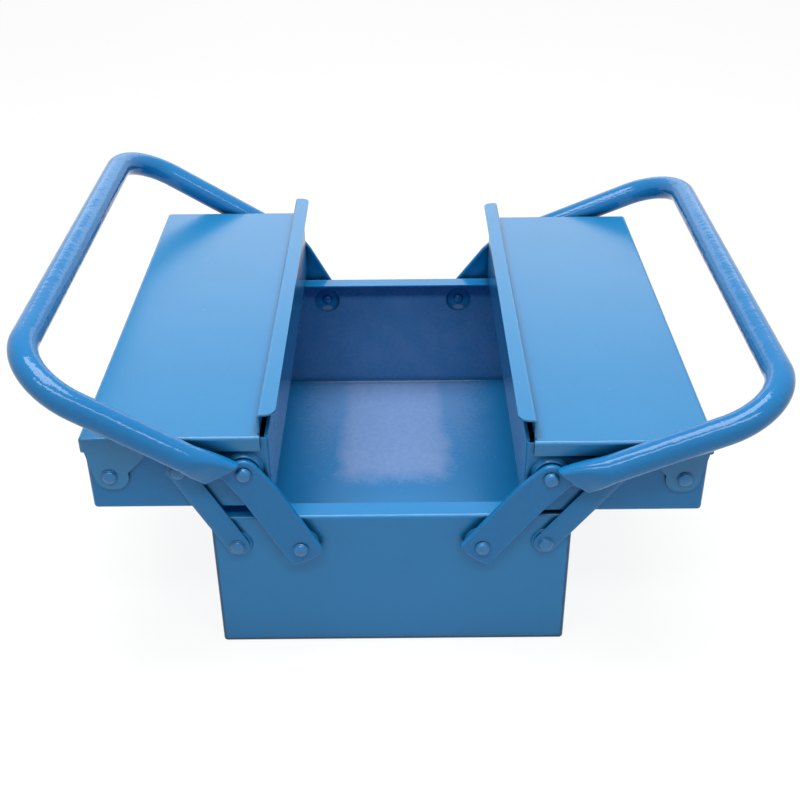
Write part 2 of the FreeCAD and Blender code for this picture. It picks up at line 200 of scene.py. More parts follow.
# %% [markdown]
# ## Lamps
#
# The lids are about twice as bright as the upright front of the base, so most light comes from above: a large
# soft box over the object. Two more lamps are there for their reflections too. A low wide box behind the object
# is what the far half of each lid mirrors, as a pale haze. A long strip above the near side lights the upright
# fronts, and it draws the crisp streaks along the tubes and the sparks on the rivet heads.
#
# The world adds even light from all round. It is white to a reflection, because the real paint mirrors a white
# room, and dimmer as a lamp, so that the faces turned away stay deep blue.

# %% Lamps and world
world = bpy.data.worlds.new("white_room")
scene.world = world
world.use_nodes = True
tree = world.node_tree
tree.nodes.clear()
cool_white, ambient_strength = (0.95, 0.98, 1.0, 1), 0.25
ambient = wire(tree, "ShaderNodeBackground", {"Color": cool_white, "Strength": ambient_strength})
white = wire(tree, "ShaderNodeBackground", {"Color": (1, 1, 1, 1), "Strength": 1.0})
room = wire(tree, "ShaderNodeMixShader", {0: seen_directly(tree), 1: ambient.outputs[0], 2: white.outputs[0]})
wire(tree, "ShaderNodeOutputWorld", {"Surface": room.outputs[0]})


def soft_box(name, place, aim, width, height, watts):
    lamp = bpy.data.lights.new(name, "AREA")
    lamp.shape = "RECTANGLE"
    lamp.size, lamp.size_y, lamp.energy = width, height, watts
    holder = bpy.data.objects.new(name, lamp)
    holder.location = place
    holder.rotation_euler = (Vector(aim) - Vector(place)).to_track_quat("-Z", "Y").to_euler()
    scene.collection.objects.link(holder)


soft_box("overhead_box", place=(-0.03, 0.05, 1.35), aim=(0, 0, 0.10), width=1.0, height=0.7, watts=18.6)
soft_box("far_box", place=(0.0, 1.90, 0.85), aim=(0, 0, 0.12), width=2.2, height=0.5, watts=3.8)
soft_box("strip_light", place=(0.0, -0.80, 1.25), aim=(0, 0, 0.10), width=1.7, height=0.20, watts=9.2)
scene.view_settings.view_transform = "Standard"

# %% [markdown]
# ## How thick enamel behaves
#
# Three things tell an eye that a surface is sprayed enamel. The gloss ripples at a scale of two or three
# millimetres, which painters call orange peel. The coat is never quite even, so the colour drifts a little. And
# paint draws back from sharp edges and leaves them a touch lighter. All three are shared by every material on the
# box, so each is a node group with named inputs, built once.

# %% Shader group helper
def shader_group(name, inputs, outputs):
    group = bpy.data.node_groups.new(name, "ShaderNodeTree")
    for label, kind, value in inputs:
        socket = group.interface.new_socket(label, in_out="INPUT", socket_type=kind)
        if value is not None:
            socket.default_value = value
    for label, kind in outputs:
        group.interface.new_socket(label, in_out="OUTPUT", socket_type=kind)
    return group, group.nodes.new("NodeGroupInput").outputs, group.nodes.new("NodeGroupOutput").inputs


# %% Orange peel and sheet waves
peel_group, given, result = shader_group(
    "orange_peel",
    [("Vector", "NodeSocketVector", None), ("Peel Size", "NodeSocketFloat", 2.4 * MM),
     ("Peel Depth", "NodeSocketFloat", 0.012 * MM), ("Wave Size", "NodeSocketFloat", 40 * MM),
     ("Wave Depth", "NodeSocketFloat", 0.05 * MM)],
    [("Height", "NodeSocketFloat")])
peel_scale = calculate(peel_group, "DIVIDE", 1.0, given["Peel Size"])
wave_scale = calculate(peel_group, "DIVIDE", 1.0, given["Wave Size"])
peel = wire(peel_group, "ShaderNodeTexNoise", {"Vector": given["Vector"], "Scale": peel_scale, "Detail": 1.5,
                                               "Roughness": 0.45})
wave = wire(peel_group, "ShaderNodeTexNoise", {"Vector": given["Vector"], "Scale": wave_scale, "Detail": 1.0})
peel_height = times(peel_group, peel.outputs["Fac"], given["Peel Depth"])
wave_height = times(peel_group, wave.outputs["Fac"], given["Wave Depth"])
peel_group.links.new(plus(peel_group, peel_height, wave_height), result["Height"])
print("group", peel_group.name)

# %% [markdown]
# The second group holds the body of the paint. A slow noise makes the coat drift between a thin, paler blue and a
# thick, deeper one, and a fine noise mottles it. It also gives the roughness. Where its light mask is set, a pale
# blue is painted in as light on the paint, and the roughness rises a little there. Both outputs change over the
# surface, which is what a group may put out.

# %% Paint body
body_group, given, result = shader_group(
    "paint_body",
    [("Vector", "NodeSocketVector", None), ("Color", "NodeSocketColor", (0.01, 0.19, 0.47, 1)),
     ("Drift", "NodeSocketFloat", 0.10), ("Edge", "NodeSocketFloat", 0.0), ("Roughness", "NodeSocketFloat", 0.22),
     ("Dry Spray", "NodeSocketFloat", 0.0)],
    [("Color", "NodeSocketColor"), ("Roughness", "NodeSocketFloat")])
# The second blue here is painted light, a pale reflection that is blended in by its mask.
thin_blue, painted_light_blue = (0.06, 0.34, 0.66, 1), (0.19, 0.29, 0.52, 1)
slow_share, fine_share, edge_share = 0.7, 0.3, 0.35
uneven_gloss, light_roughening = 0.12, 0.12
slow = wire(body_group, "ShaderNodeTexNoise", {"Vector": given["Vector"], "Scale": 14.0, "Detail": 3.0})
fine = wire(body_group, "ShaderNodeTexNoise", {"Vector": given["Vector"], "Scale": 320.0, "Detail": 2.0})
coat = plus(body_group, times(body_group, slow.outputs["Fac"], slow_share),
            times(body_group, fine.outputs["Fac"], fine_share))
swing = times(body_group, calculate(body_group, "SUBTRACT", coat, 0.5), given["Drift"])
value = plus(body_group, 1.0, swing)
toned = wire(body_group, "ShaderNodeHueSaturation", {"Color": given["Color"], "Value": value})
thinned = times(body_group, given["Edge"], edge_share)
edged = blend_colors(body_group, thinned, toned.outputs["Color"], thin_blue)
# Painted light: the pale blue is mixed in wherever the mask is set.
lightened = blend_colors(body_group, given["Dry Spray"], edged, painted_light_blue)
body_group.links.new(lightened, result["Color"])
uneven = calculate(body_group, "SUBTRACT", fine.outputs["Fac"], 0.5)
uneven = times(body_group, uneven, uneven_gloss)
rough = plus(body_group, given["Roughness"], uneven)
rough = plus(body_group, rough, times(body_group, given["Dry Spray"], light_roughening))
body_group.links.new(rough, result["Roughness"])
print("group", body_group.name)

# %% [markdown]
# Small grains of dust settle in wet paint and stay as nibs. A Voronoi texture scatters one point in each cell of a
# grid, and the distance to that point, cut off short, gives a tiny dome. Most cells are left empty by asking for
# a random colour above a threshold.

# %% Dust nibs
nib_group, given, result = shader_group(
    "dust_nibs",
    [("Vector", "NodeSocketVector", None), ("Spacing", "NodeSocketFloat", 9 * MM),
     ("Nib Size", "NodeSocketFloat", 0.5 * MM), ("Share", "NodeSocketFloat", 0.25)],
    [("Mask", "NodeSocketFloat")])
cells = wire(nib_group, "ShaderNodeTexVoronoi",
             {"Vector": given["Vector"], "Scale": calculate(nib_group, "DIVIDE", 1.0, given["Spacing"])})
near = calculate(nib_group, "DIVIDE", given["Nib Size"], given["Spacing"])
dome = calculate(nib_group, "SUBTRACT", 1.0, calculate(nib_group, "DIVIDE", cells.outputs["Distance"], near))
dome = calculate(nib_group, "MAXIMUM", dome, 0.0)
pick = wire(nib_group, "ShaderNodeSeparateColor", {"Color": cells.outputs["Color"]})
kept = calculate(nib_group, "LESS_THAN", pick.outputs["Red"], given["Share"])
nib_group.links.new(times(nib_group, dome, kept), result["Mask"])
print("group", nib_group.name)

# %% [markdown]
# ## One paint, five materials
#
# Sheet, tube and rivets all wear the same enamel, but it lies differently on each. On flat sheet it levels out
# and shows only fine peel. On the tube it sags as it dries, so its gloss is wetter and its ripple coarser. On a
# rivet its gloss is wet and its ripple fine. Lids, trays and base also mirror the room with a different strength.
# Each material places the shared groups with its own values. The Principled shader stays in the material itself.
#
# Shade is painted into the colour under a hem, along a link and round a rivet, where light reaches less. An
# Ambient Occlusion node tells how open each spot is, and the paint is darkened where little of the room is seen.

# %% Enamel material
crevice_reach, crevice_rays = 8.0 * MM, 12
closed_spot, open_spot, crevice_shade_value = 0.25, 0.90, 0.22
nib_height = 0.04 * MM


def group_node(tree, group, inputs):
    node = tree.nodes.new("ShaderNodeGroup")
    node.node_tree = group
    for name, value in inputs.items():
        if isinstance(value, bpy.types.NodeSocket):
            tree.links.new(value, node.inputs[name])
        else:
            node.inputs[name].default_value = value
    return node.outputs


def enamel(name, color, roughness, drift, peel, nibs, gloss_index=1.46, painted_light=None, painted_shade=None):
    material = bpy.data.materials.new(name)
    material.use_nodes = True
    tree = material.node_tree
    tree.nodes.clear()
    place = wire(tree, "ShaderNodeTexCoord").outputs["Object"]
    edge = wire(tree, "ShaderNodeAttribute", attribute_name="thin_paint").outputs["Fac"]
    # The mask of painted light, which only the base has.
    light_mask = painted_light(tree, place) if painted_light else 0.0
    paint = group_node(tree, body_group, {"Vector": place, "Color": color, "Drift": drift, "Edge": edge,
                                          "Roughness": roughness, "Dry Spray": light_mask})
    # Painted shade: the colour is darkened where the Ambient Occlusion node finds the spot closed in.
    opened = wire(tree, "ShaderNodeAmbientOcclusion", {"Distance": crevice_reach}, samples=crevice_rays)
    shade_factor = ramp(tree, opened.outputs["AO"], closed_spot, open_spot, crevice_shade_value, 1.0)
    # The base also multiplies in its own mask of painted shade.
    if painted_shade:
        shade_factor = times(tree, shade_factor, painted_shade(tree, place))
    body = wire(tree, "ShaderNodeHueSaturation", {"Color": paint["Color"], "Value": shade_factor}).outputs["Color"]
    ripple = group_node(tree, peel_group, {"Vector": place, **peel})
    nib = group_node(tree, nib_group, {"Vector": place, **nibs})
    height = plus(tree, ripple["Height"], times(tree, nib["Mask"], nib_height))
    bump = wire(tree, "ShaderNodeBump", {"Height": height, "Strength": 1.0, "Distance": 1.0})
    shader = wire(tree, "ShaderNodeBsdfPrincipled", {
        "Base Color": body, "Roughness": paint["Roughness"], "Normal": bump.outputs["Normal"]})
    shader.inputs["IOR"].default_value = gloss_index
    wire(tree, "ShaderNodeOutputMaterial", {"Surface": shader.outputs[0]})
    return material


print("crevices are darkened within", round(crevice_reach / MM, 1), "mm")

# %% [markdown]
# Two masks belong to the base alone. The first is painted light inside: a pale reflection painted as a soft patch
# on the floor, a thin veil round it and on the far wall, and a painted highlight under each pivot there. The second
# is painted shade, outside along the bottom fold and the upright corners, and in the pressed dimples. Both are
# drawn from where a spot lies on the piece, and a noise that shifts the place breaks up their borders.

# %% Painted pale light inside the base
base_half_width, base_half_length = 100.0 * MM, 150.0 * MM
base_pivot = pivots["right_handle_swing"]
haze_wander = 16 * MM

# Each soft border has a start, an end, and the strengths before and after it.
patch_side, patch_near = (30 * MM, 50 * MM, 0.86, 0.0), (0 * MM, 30 * MM, 0.06, 1.0)
patch_flecks = (0.25, 0.75, 0.85, 1.1)
veil_side, veil_near = (48 * MM, 84 * MM, 0.38, 0.02), (-10 * MM, 130 * MM, 0.20, 1.25)
floor_top, wall_foot, wall_cloud = (1.5 * MM, 4 * MM, 1.0, 0.0), (1 * MM, 8 * MM), (0.30, 0.70, 0.24, 0.38)
wall_front = (base_half_length - 3.0 * MM, base_half_length - 1.5 * MM)
wall_back = (base_half_length - 0.7 * MM, base_half_length - 0.4 * MM, 1.0, 0.0)
spot_drop, spot_width, spot_height, spot_rim = 7.0 * MM, 4.2 * MM, 1.6 * MM, (0.3, 1.2, 1.6, 0.0)
spot_front = (base_half_length - 10 * MM, base_half_length - 5 * MM)


def band(tree, value, rise, fall):
    """1 between two soft borders on one axis, else 0."""
    return times(tree, ramp(tree, value, *rise), ramp(tree, value, *fall))


def squares(tree, first, second):
    return plus(tree, calculate(tree, "POWER", first, 2.0), calculate(tree, "POWER", second, 2.0))


def painted_inside_light(tree, place):
    """Mask of the painted pale light inside the base."""
    axis = wire(tree, "ShaderNodeSeparateXYZ", {"Vector": place}).outputs
    wide = calculate(tree, "ABSOLUTE", axis["X"])
    broken = wire(tree, "ShaderNodeTexNoise", {"Vector": place, "Scale": 60.0, "Detail": 2.5}).outputs["Fac"]
    fleck = wire(tree, "ShaderNodeTexNoise", {"Vector": place, "Scale": 300.0, "Detail": 1.0}).outputs["Fac"]
    wander = times(tree, calculate(tree, "SUBTRACT", broken, 0.5), haze_wander)
    across, along = plus(tree, wide, wander), plus(tree, axis["Y"], wander)
    # Painted reflected light: a soft pale patch on the floor and a thin veil round it.
    patch = times(tree, ramp(tree, across, *patch_side), ramp(tree, along, *patch_near))
    patch = times(tree, patch, ramp(tree, fleck, *patch_flecks))
    veil = times(tree, ramp(tree, across, *veil_side), ramp(tree, along, *veil_near))
    haze = calculate(tree, "MAXIMUM", patch, veil)
    on_floor = times(tree, haze, ramp(tree, axis["Z"], *floor_top))

    # Painted light on the far wall.
    wall = times(tree, band(tree, axis["Y"], wall_front, wall_back), ramp(tree, axis["Z"], *wall_foot))
    on_wall = times(tree, wall, ramp(tree, broken, *wall_cloud))

    # Painted highlight: a pale spot under each pivot on the far wall.
    beside = calculate(tree, "SUBTRACT", wide, base_pivot.x)
    below = plus(tree, calculate(tree, "SUBTRACT", axis["Z"], base_pivot.z), spot_drop)
    beside, below = calculate(tree, "DIVIDE", beside, spot_width), calculate(tree, "DIVIDE", below, spot_height)
    spot = ramp(tree, squares(tree, beside, below), *spot_rim)
    glinting = times(tree, spot, ramp(tree, axis["Y"], *spot_front))
    return calculate(tree, "MAXIMUM", calculate(tree, "MAXIMUM", on_floor, on_wall), glinting)


print("worn spots lie under pivots", round(base_pivot.x / MM, 1), "mm from the middle")

# %% Painted shade on the base
shade_wander = 1.2 * MM
side_face = (base_half_width - 0.8 * MM, base_half_width - 0.4 * MM)
end_face = (base_half_length - 0.8 * MM, base_half_length - 0.4 * MM)
bottom_band = (1.2 * MM, 3.2 * MM, 0.85, 0.0)
corner_side = (base_half_width - 2.6 * MM, base_half_width - 0.8 * MM)
corner_end = (base_half_length - 2.8 * MM, base_half_length - 1.0 * MM, 0.0, 0.7)
dimple_floor = (base_half_length - 5.0 * MM, base_half_length - 2.0 * MM)
dimple_mouth = (base_half_length - 0.6 * MM, base_half_length - 0.2 * MM, 1.0, 0.0)
dimple_rim = (8.4 * MM, 10.4 * MM, 0.72, 0.0)


def base_painted_shade(tree, place):
    """1 on open paint, and less in the painted shade bands outside the base and in its pressed dimples."""
    axis = wire(tree, "ShaderNodeSeparateXYZ", {"Vector": place}).outputs
    noise = wire(tree, "ShaderNodeTexNoise", {"Vector": place, "Scale": 160.0, "Detail": 2.0}).outputs["Fac"]
    wander = times(tree, calculate(tree, "SUBTRACT", noise, 0.5), shade_wander)
    wide, deep = calculate(tree, "ABSOLUTE", axis["X"]), calculate(tree, "ABSOLUTE", axis["Y"])
    # Painted shade along the bottom fold and the upright corners outside the base.
    outside = calculate(tree, "MAXIMUM", ramp(tree, wide, *side_face), ramp(tree, deep, *end_face))
    low = ramp(tree, plus(tree, axis["Z"], wander), *bottom_band)
    near_side = ramp(tree, plus(tree, wide, wander), *corner_side)
    near_end = ramp(tree, plus(tree, deep, wander), *corner_end)
    corner = times(tree, near_side, near_end)
    edges = times(tree, outside, calculate(tree, "MAXIMUM", low, corner))

    # Painted shade in each pressed dimple, as a ring round the pivot.
    beside = calculate(tree, "SUBTRACT", wide, base_pivot.x)
    above = calculate(tree, "SUBTRACT", axis["Z"], base_pivot.z)
    from_pivot = calculate(tree, "SQRT", squares(tree, beside, above))
    sunk = band(tree, deep, dimple_floor, dimple_mouth)
    dimple = times(tree, sunk, ramp(tree, from_pivot, *dimple_rim))
    return calculate(tree, "SUBTRACT", 1.0, calculate(tree, "MAXIMUM", edges, dimple))


print("grime follows a base", round(2 * base_half_width / MM), "by", round(2 * base_half_length / MM), "mm")

# %% The five materials
lid_blue = (0.014, 0.178, 0.395, 1)
# The trays and outer links get a darker blue than the lids and base, which is painted shade for their shaded faces.
shaded_tray_blue = (0.010, 0.160, 0.390, 1)
base_blue = (0.010, 0.180, 0.425, 1)
tube_blue = (0.004, 0.152, 0.388, 1)
rivet_blue = (0.010, 0.165, 0.400, 1)
sheet_rough, wet_rough, sheet_drift, wet_drift = 0.24, 0.12, 0.16, 0.12


def peel_sizes(peel_size, peel_depth, wave_size, wave_depth):
    return {"Peel Size": peel_size * MM, "Peel Depth": peel_depth * MM, "Wave Size": wave_size * MM,
            "Wave Depth": wave_depth * MM}


def nib_sizes(spacing, nib_size, share):
    return {"Spacing": spacing * MM, "Nib Size": nib_size * MM, "Share": share}


flat_peel, few_nibs = peel_sizes(2.2, 0.012, 45, 0.14), nib_sizes(14, 0.45, 0.3)
lid_paint = enamel("lid_enamel_blue", lid_blue, sheet_rough, sheet_drift, flat_peel, few_nibs)
shaded_tray_paint = enamel("tray_enamel_blue", shaded_tray_blue, sheet_rough, sheet_drift, flat_peel, few_nibs, gloss_index=1.36)
base_paint = enamel("base_enamel_blue", base_blue, sheet_rough, sheet_drift, peel_sizes(2.4, 0.016, 45, 0.16),
                    few_nibs, gloss_index=1.40, painted_light=painted_inside_light, painted_shade=base_painted_shade)
tube_paint = enamel("tube_enamel_blue", tube_blue, wet_rough, wet_drift, peel_sizes(3.0, 0.15, 12, 0.36),
                    nib_sizes(16, 0.5, 0.35), gloss_index=1.38)
rivet_paint = enamel("rivet_enamel_blue", rivet_blue, wet_rough, wet_drift, peel_sizes(1.6, 0.012, 6, 0.02),
                     nib_sizes(6, 0.3, 0.2), gloss_index=1.5)
print("enamels:", len(bpy.data.materials), "materials with the floor's")

# %% [markdown]
# ## Folded sheet with soft edges
#
# The base, trays, lids and outer links are folded or stamped from sheet. Their CAD solids are right, but every cut
# edge on them is perfectly sharp, and no painted edge is. A CAD mesh is loose triangles, so a copy is merged
# first. Flat areas are then dissolved back into single faces, which leaves clean edges, and each sharp edge gets
# a bevel about a quarter of a millimetre wide. The new narrow faces are marked, so that the paint can be thinner
# there.
#
# The copy then gets a Weighted Normal modifier. It lets the large flat faces decide how the light runs over their
# borders, so that the panels look flat and only the bevels look round.

# %% Painted sheet
same_place, flat_turn, sharp_turn = 0.002 * MM, math.radians(0.4), math.radians(40)
sheet_edge, link_edge = 0.25 * MM, 0.18 * MM


def link_piece(name, mesh):
    piece = bpy.data.objects.new(name, mesh)
    scene.collection.objects.link(piece)
    return piece


def finish_piece(piece, body, slot, *nodes):
    """Smooth shading, a body to ride on, and the CAD nodes that it stands for. The slot argument is not used."""
    piece.data.shade_smooth()
    weighted = piece.modifiers.new("even_normals", "WEIGHTED_NORMAL")
    weighted.weight, weighted.keep_sharp = 60, False
    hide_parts(*nodes)
    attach(piece, body)
    return piece


def painted_sheet(node, body, material, edge_width):
    work = bmesh.new()
    work.from_mesh(frame["nodes"][node].data)
    bmesh.ops.remove_doubles(work, verts=work.verts, dist=same_place)
    bmesh.ops.dissolve_limit(work, angle_limit=flat_turn, verts=work.verts, edges=work.edges)
    thin = work.faces.layers.float.new("thin_paint")
    sharp = [edge for edge in work.edges if edge.is_manifold and edge.calc_face_angle() > sharp_turn]
    made = bmesh.ops.bevel(work, geom=sharp, offset=edge_width, segments=2, profile=0.5, affect="EDGES",
                           clamp_overlap=True)
    for face in made["faces"]:
        face[thin] = 1.0
    bmesh.ops.triangulate(work, faces=[face for face in work.faces if len(face.verts) > 4])
    mesh = bpy.data.meshes.new(node + "_painted")
    work.to_mesh(mesh)
    work.free()
    mesh.materials.append(material)
    piece = finish_piece(link_piece(node + "_painted", mesh), body, "sheet_enamel", node)
    print(piece.name, len(mesh.polygons), "faces,", len(sharp), "edges softened")


painted_sheet("base_box", "base", base_paint, sheet_edge)
for side in ("left", "right"):
    painted_sheet("tray_" + side, side + "_tray", shaded_tray_paint, sheet_edge)
    painted_sheet("lid_" + side, side + "_lid", lid_paint, sheet_edge)
    for end in ("front", "back"):
        painted_sheet("outer_link_" + end + "_" + side, side + "_" + end + "_link", shaded_tray_paint, link_edge)

# %% [markdown]
# ## A skin over a row of rings
#
# The handle is one tube that changes its section as it goes: round along the grip, pinched where it was pressed
# in a die, and flat at its ends. A rivet head is a dome, which is also a row of rings, round ones that shrink to a
# point. So one Geometry Nodes tree makes both. Its input is a guide: a row of points, each with two directions
# and two half sizes stored on it. The tree lays a grid with one row for each point and bends each row into a
# closed section. A section with equal half sizes is a circle, and one with unequal half sizes has two flat sides
# closed by half circles, like a squashed tube.

# %% The skin tree
side_sharpness, seam_gap = 2.4, 0.0005 * MM

skin_tree = bpy.data.node_groups.new("ring_skin", "GeometryNodeTree")
skin_tree.interface.new_socket("Guide", in_out="INPUT", socket_type="NodeSocketGeometry")
skin_tree.interface.new_socket("Sides", in_out="INPUT", socket_type="NodeSocketInt").default_value = 48
skin_tree.interface.new_socket("Skin", in_out="OUTPUT", socket_type="NodeSocketGeometry")
given = skin_tree.nodes.new("NodeGroupInput").outputs
result = skin_tree.nodes.new("NodeGroupOutput").inputs

rings = wire(skin_tree, "GeometryNodeAttributeDomainSize", {"Geometry": given["Guide"]}).outputs["Point Count"]
columns = plus(skin_tree, given["Sides"], 1)
sheet_of_rings = wire(skin_tree, "GeometryNodeMeshGrid", {"Vertices X": rings, "Vertices Y": columns})
index = wire(skin_tree, "GeometryNodeInputIndex").outputs[0]
ring = calculate(skin_tree, "FLOOR", calculate(skin_tree, "DIVIDE", index, columns))
column = calculate(skin_tree, "SUBTRACT", index, times(skin_tree, ring, columns))
angle = times(skin_tree, calculate(skin_tree, "DIVIDE", column, given["Sides"]), math.tau)


def from_guide(kind, value):
    node = wire(skin_tree, "GeometryNodeSampleIndex", {"Geometry": given["Guide"], "Index": ring},
                data_type=kind, domain="POINT")
    skin_tree.links.new(value, node.inputs["Value"])
    return node.outputs["Value"]


def stored(kind, name):
    node = wire(skin_tree, "GeometryNodeInputNamedAttribute", {"Name": name}, data_type=kind)
    return from_guide(kind, node.outputs["Attribute"])


centre = from_guide("FLOAT_VECTOR", wire(skin_tree, "GeometryNodeInputPosition").outputs[0])
half_width, half_depth = stored("FLOAT", "half_width"), stored("FLOAT", "half_depth")
cosine, sine = calculate(skin_tree, "COSINE", angle), calculate(skin_tree, "SINE", angle)
steep_cosine = times(skin_tree, cosine, side_sharpness)
flat_run = wire(skin_tree, "ShaderNodeClamp", {"Value": steep_cosine, "Min": -1.0, "Max": 1.0}).outputs[0]
straight = times(skin_tree, calculate(skin_tree, "SUBTRACT", half_width, half_depth), flat_run)
along_width = plus(skin_tree, times(skin_tree, half_depth, cosine), straight)
along_depth = times(skin_tree, half_depth, sine)


def scaled(direction, size):
    return wire(skin_tree, "ShaderNodeVectorMath", {0: direction, "Scale": size}, operation="SCALE").outputs[0]


def summed(first, second):
    return wire(skin_tree, "ShaderNodeVectorMath", {0: first, 1: second}, operation="ADD").outputs[0]


place = summed(centre, summed(scaled(stored("FLOAT_VECTOR", "across"), along_width),
                              scaled(stored("FLOAT_VECTOR", "outward"), along_depth)))
bent = wire(skin_tree, "GeometryNodeSetPosition", {"Geometry": sheet_of_rings.outputs["Mesh"], "Position": place})
closed = wire(skin_tree, "GeometryNodeMergeByDistance", {"Geometry": bent.outputs[0], "Distance": seam_gap})
skin_tree.links.new(closed.outputs[0], result["Skin"])
print("tree", skin_tree.name, "with", len(skin_tree.nodes), "nodes")

# %% Guides and plain meshes
def guide_object(name, rings):
    """A row of points that carries the directions and half sizes which the skin tree reads."""
    mesh = bpy.data.meshes.new(name)
    mesh.from_pydata([ring["centre"] for ring in rings], [], [])
    for key in ("across", "outward"):
        layer = mesh.attributes.new(key, "FLOAT_VECTOR", "POINT")
        layer.data.foreach_set("vector", [value for ring in rings for value in ring[key]])
    for key in ("half_width", "half_depth"):
        layer = mesh.attributes.new(key, "FLOAT", "POINT")
        layer.data.foreach_set("value", [ring[key] for ring in rings])
    return link_piece(name, mesh)


def run_tree(carrier, tree, settings):
    """Runs a Geometry Nodes tree on an object and returns the result as a plain mesh."""
    modifier = carrier.modifiers.new("shape", "NODES")
    modifier.node_group = tree
    for item in tree.interface.items_tree:
        if item.item_type == "SOCKET" and item.in_out == "INPUT" and item.name in settings:
            modifier[item.identifier] = settings[item.name]
    seen = carrier.evaluated_get(bpy.context.evaluated_depsgraph_get())
    mesh = bpy.data.meshes.new_from_object(seen)
    bpy.data.objects.remove(carrier)
    work = bmesh.new()
    work.from_mesh(mesh)
    bmesh.ops.recalc_face_normals(work, faces=work.faces)
    work.to_mesh(mesh)
    work.free()
    return mesh


def finished_tree(name):
    """A tree that skins its guide, makes it real, and gives it a material."""
    tree = bpy.data.node_groups.new(name, "GeometryNodeTree")
    tree.interface.new_socket("Guide", in_out="INPUT", socket_type="NodeSocketGeometry")
    tree.interface.new_socket("Sides", in_out="INPUT", socket_type="NodeSocketInt").default_value = 48
    tree.interface.new_socket("Material", in_out="INPUT", socket_type="NodeSocketMaterial")
    tree.interface.new_socket("Geometry", in_out="OUTPUT", socket_type="NodeSocketGeometry")
    source = tree.nodes.new("NodeGroupInput").outputs
    skin = wire(tree, "GeometryNodeGroup", node_tree=skin_tree)
    tree.links.new(source["Guide"], skin.inputs["Guide"])
    tree.links.new(source["Sides"], skin.inputs["Sides"])
    real = wire(tree, "GeometryNodeRealizeInstances", {"Geometry": skin.outputs["Skin"]})
    painted = wire(tree, "GeometryNodeSetMaterial", {"Geometry": real.outputs[0], "Material": source["Material"]})
    tree.links.new(painted.outputs[0], tree.nodes.new("NodeGroupOutput").inputs["Geometry"])
    return tree


handle_tree = finished_tree("pinched_tube")
print("tree", handle_tree.name)

# %% [markdown]
# ## The tube handles
#
# The real handle starts as a straight steel tube. Both ends are pressed flat, holes are punched through them, and
# the tube is bent twice. The guide follows that: it comes up out of the flat arm, swells through the pinch, runs
# up the leg, turns a wide bend, crosses the grip and comes down the other side the same way. The steepest place
# is the crease, where the tube drops to the flat arm within two millimetres.
#
# Places are written in the arm's own frame, which leans with it: u outward across the arm, t up along it from the
# base pivot, and y along the box. That makes the left and the right handle the same list, although they lean by
# different angles.

# %% Sizes of the handle
tube_radius = 15.9 / 2 * MM
skin_radius = tube_radius - 0.02 * MM
arm_back = 152.7 * MM
arm_thickness = 3.8 * MM
arm_half_width = 10.5 * MM
arm_edge = 1.6 * MM
link_length = (pivots["right_tray_swing"] - pivots["right_handle_swing"]).length
leg_turn = math.radians(29.92)
leg_offset = 3.0 * MM
leg_reach = 130.0 * MM
grip_bend = 37.0 * MM
crease_rise = 7.5 * MM
crease_middle = 9.5 * MM
crease_half_width = 11.5 * MM
crease_depth = 9.0 * MM
pinch_length = 24.0 * MM
pinch_steps, leg_steps, bend_steps, grip_steps = 14, 8, 24, 24

# Rings out of the flat arm up to the crease, in mm: place across, drop below the crease, half width and depth.
crease_rings = ((4.0, 9.0, 0.02, 0.02), (4.0, 9.0, 5.0, 2.2), (4.2, 6.0, 6.0, 3.2), (6.0, 3.4, 7.6, 3.5),
                (9.3, 2.2, 9.8, 3.7), (9.5, 1.6, 10.6, 4.6), (9.5, 1.0, 11.1, 6.4), (9.5, 0.4, 11.4, 8.0))
crease_lift = 0.05 * MM


class ArmFrame:
    """The leaning frame of one side: u outward across the arm, t along it, and the way out of an end."""
    def __init__(self, side):
        self.sign = 1 if side == "right" else -1
        self.foot = pivots[side + "_handle_swing"].copy()
        head = pivots[side + "_tray_swing"]
        self.t_way = (head - self.foot).normalized()
        self.u_way = Vector((self.t_way.z, 0, -self.t_way.x)) * self.sign

    def place(self, u, t, y):
        return self.foot + self.u_way * u + self.t_way * t + Vector((0, y, 0))

    def turned(self, angle):
        """The u direction turned with the leg by an angle."""
        return self.u_way * math.cos(angle) - self.t_way * math.sin(angle)

    def along(self, angle):
        """The t direction turned with the leg by an angle."""
        return self.u_way * math.sin(angle) + self.t_way * math.cos(angle)


def leg_place(distance):
    """u and t of a spot on the leg, at a distance up from beside the tray pivot."""
    start_u, start_t = leg_offset * math.cos(leg_turn), link_length - leg_offset * math.sin(leg_turn)
    return start_u + distance * math.sin(leg_turn), start_t + distance * math.cos(leg_turn)


def smooth(share):
    return share * share * (3 - 2 * share)


print("arm", round(link_length / MM, 1), "mm between pivots, tube", round(2 * tube_radius / MM, 1), "mm across")

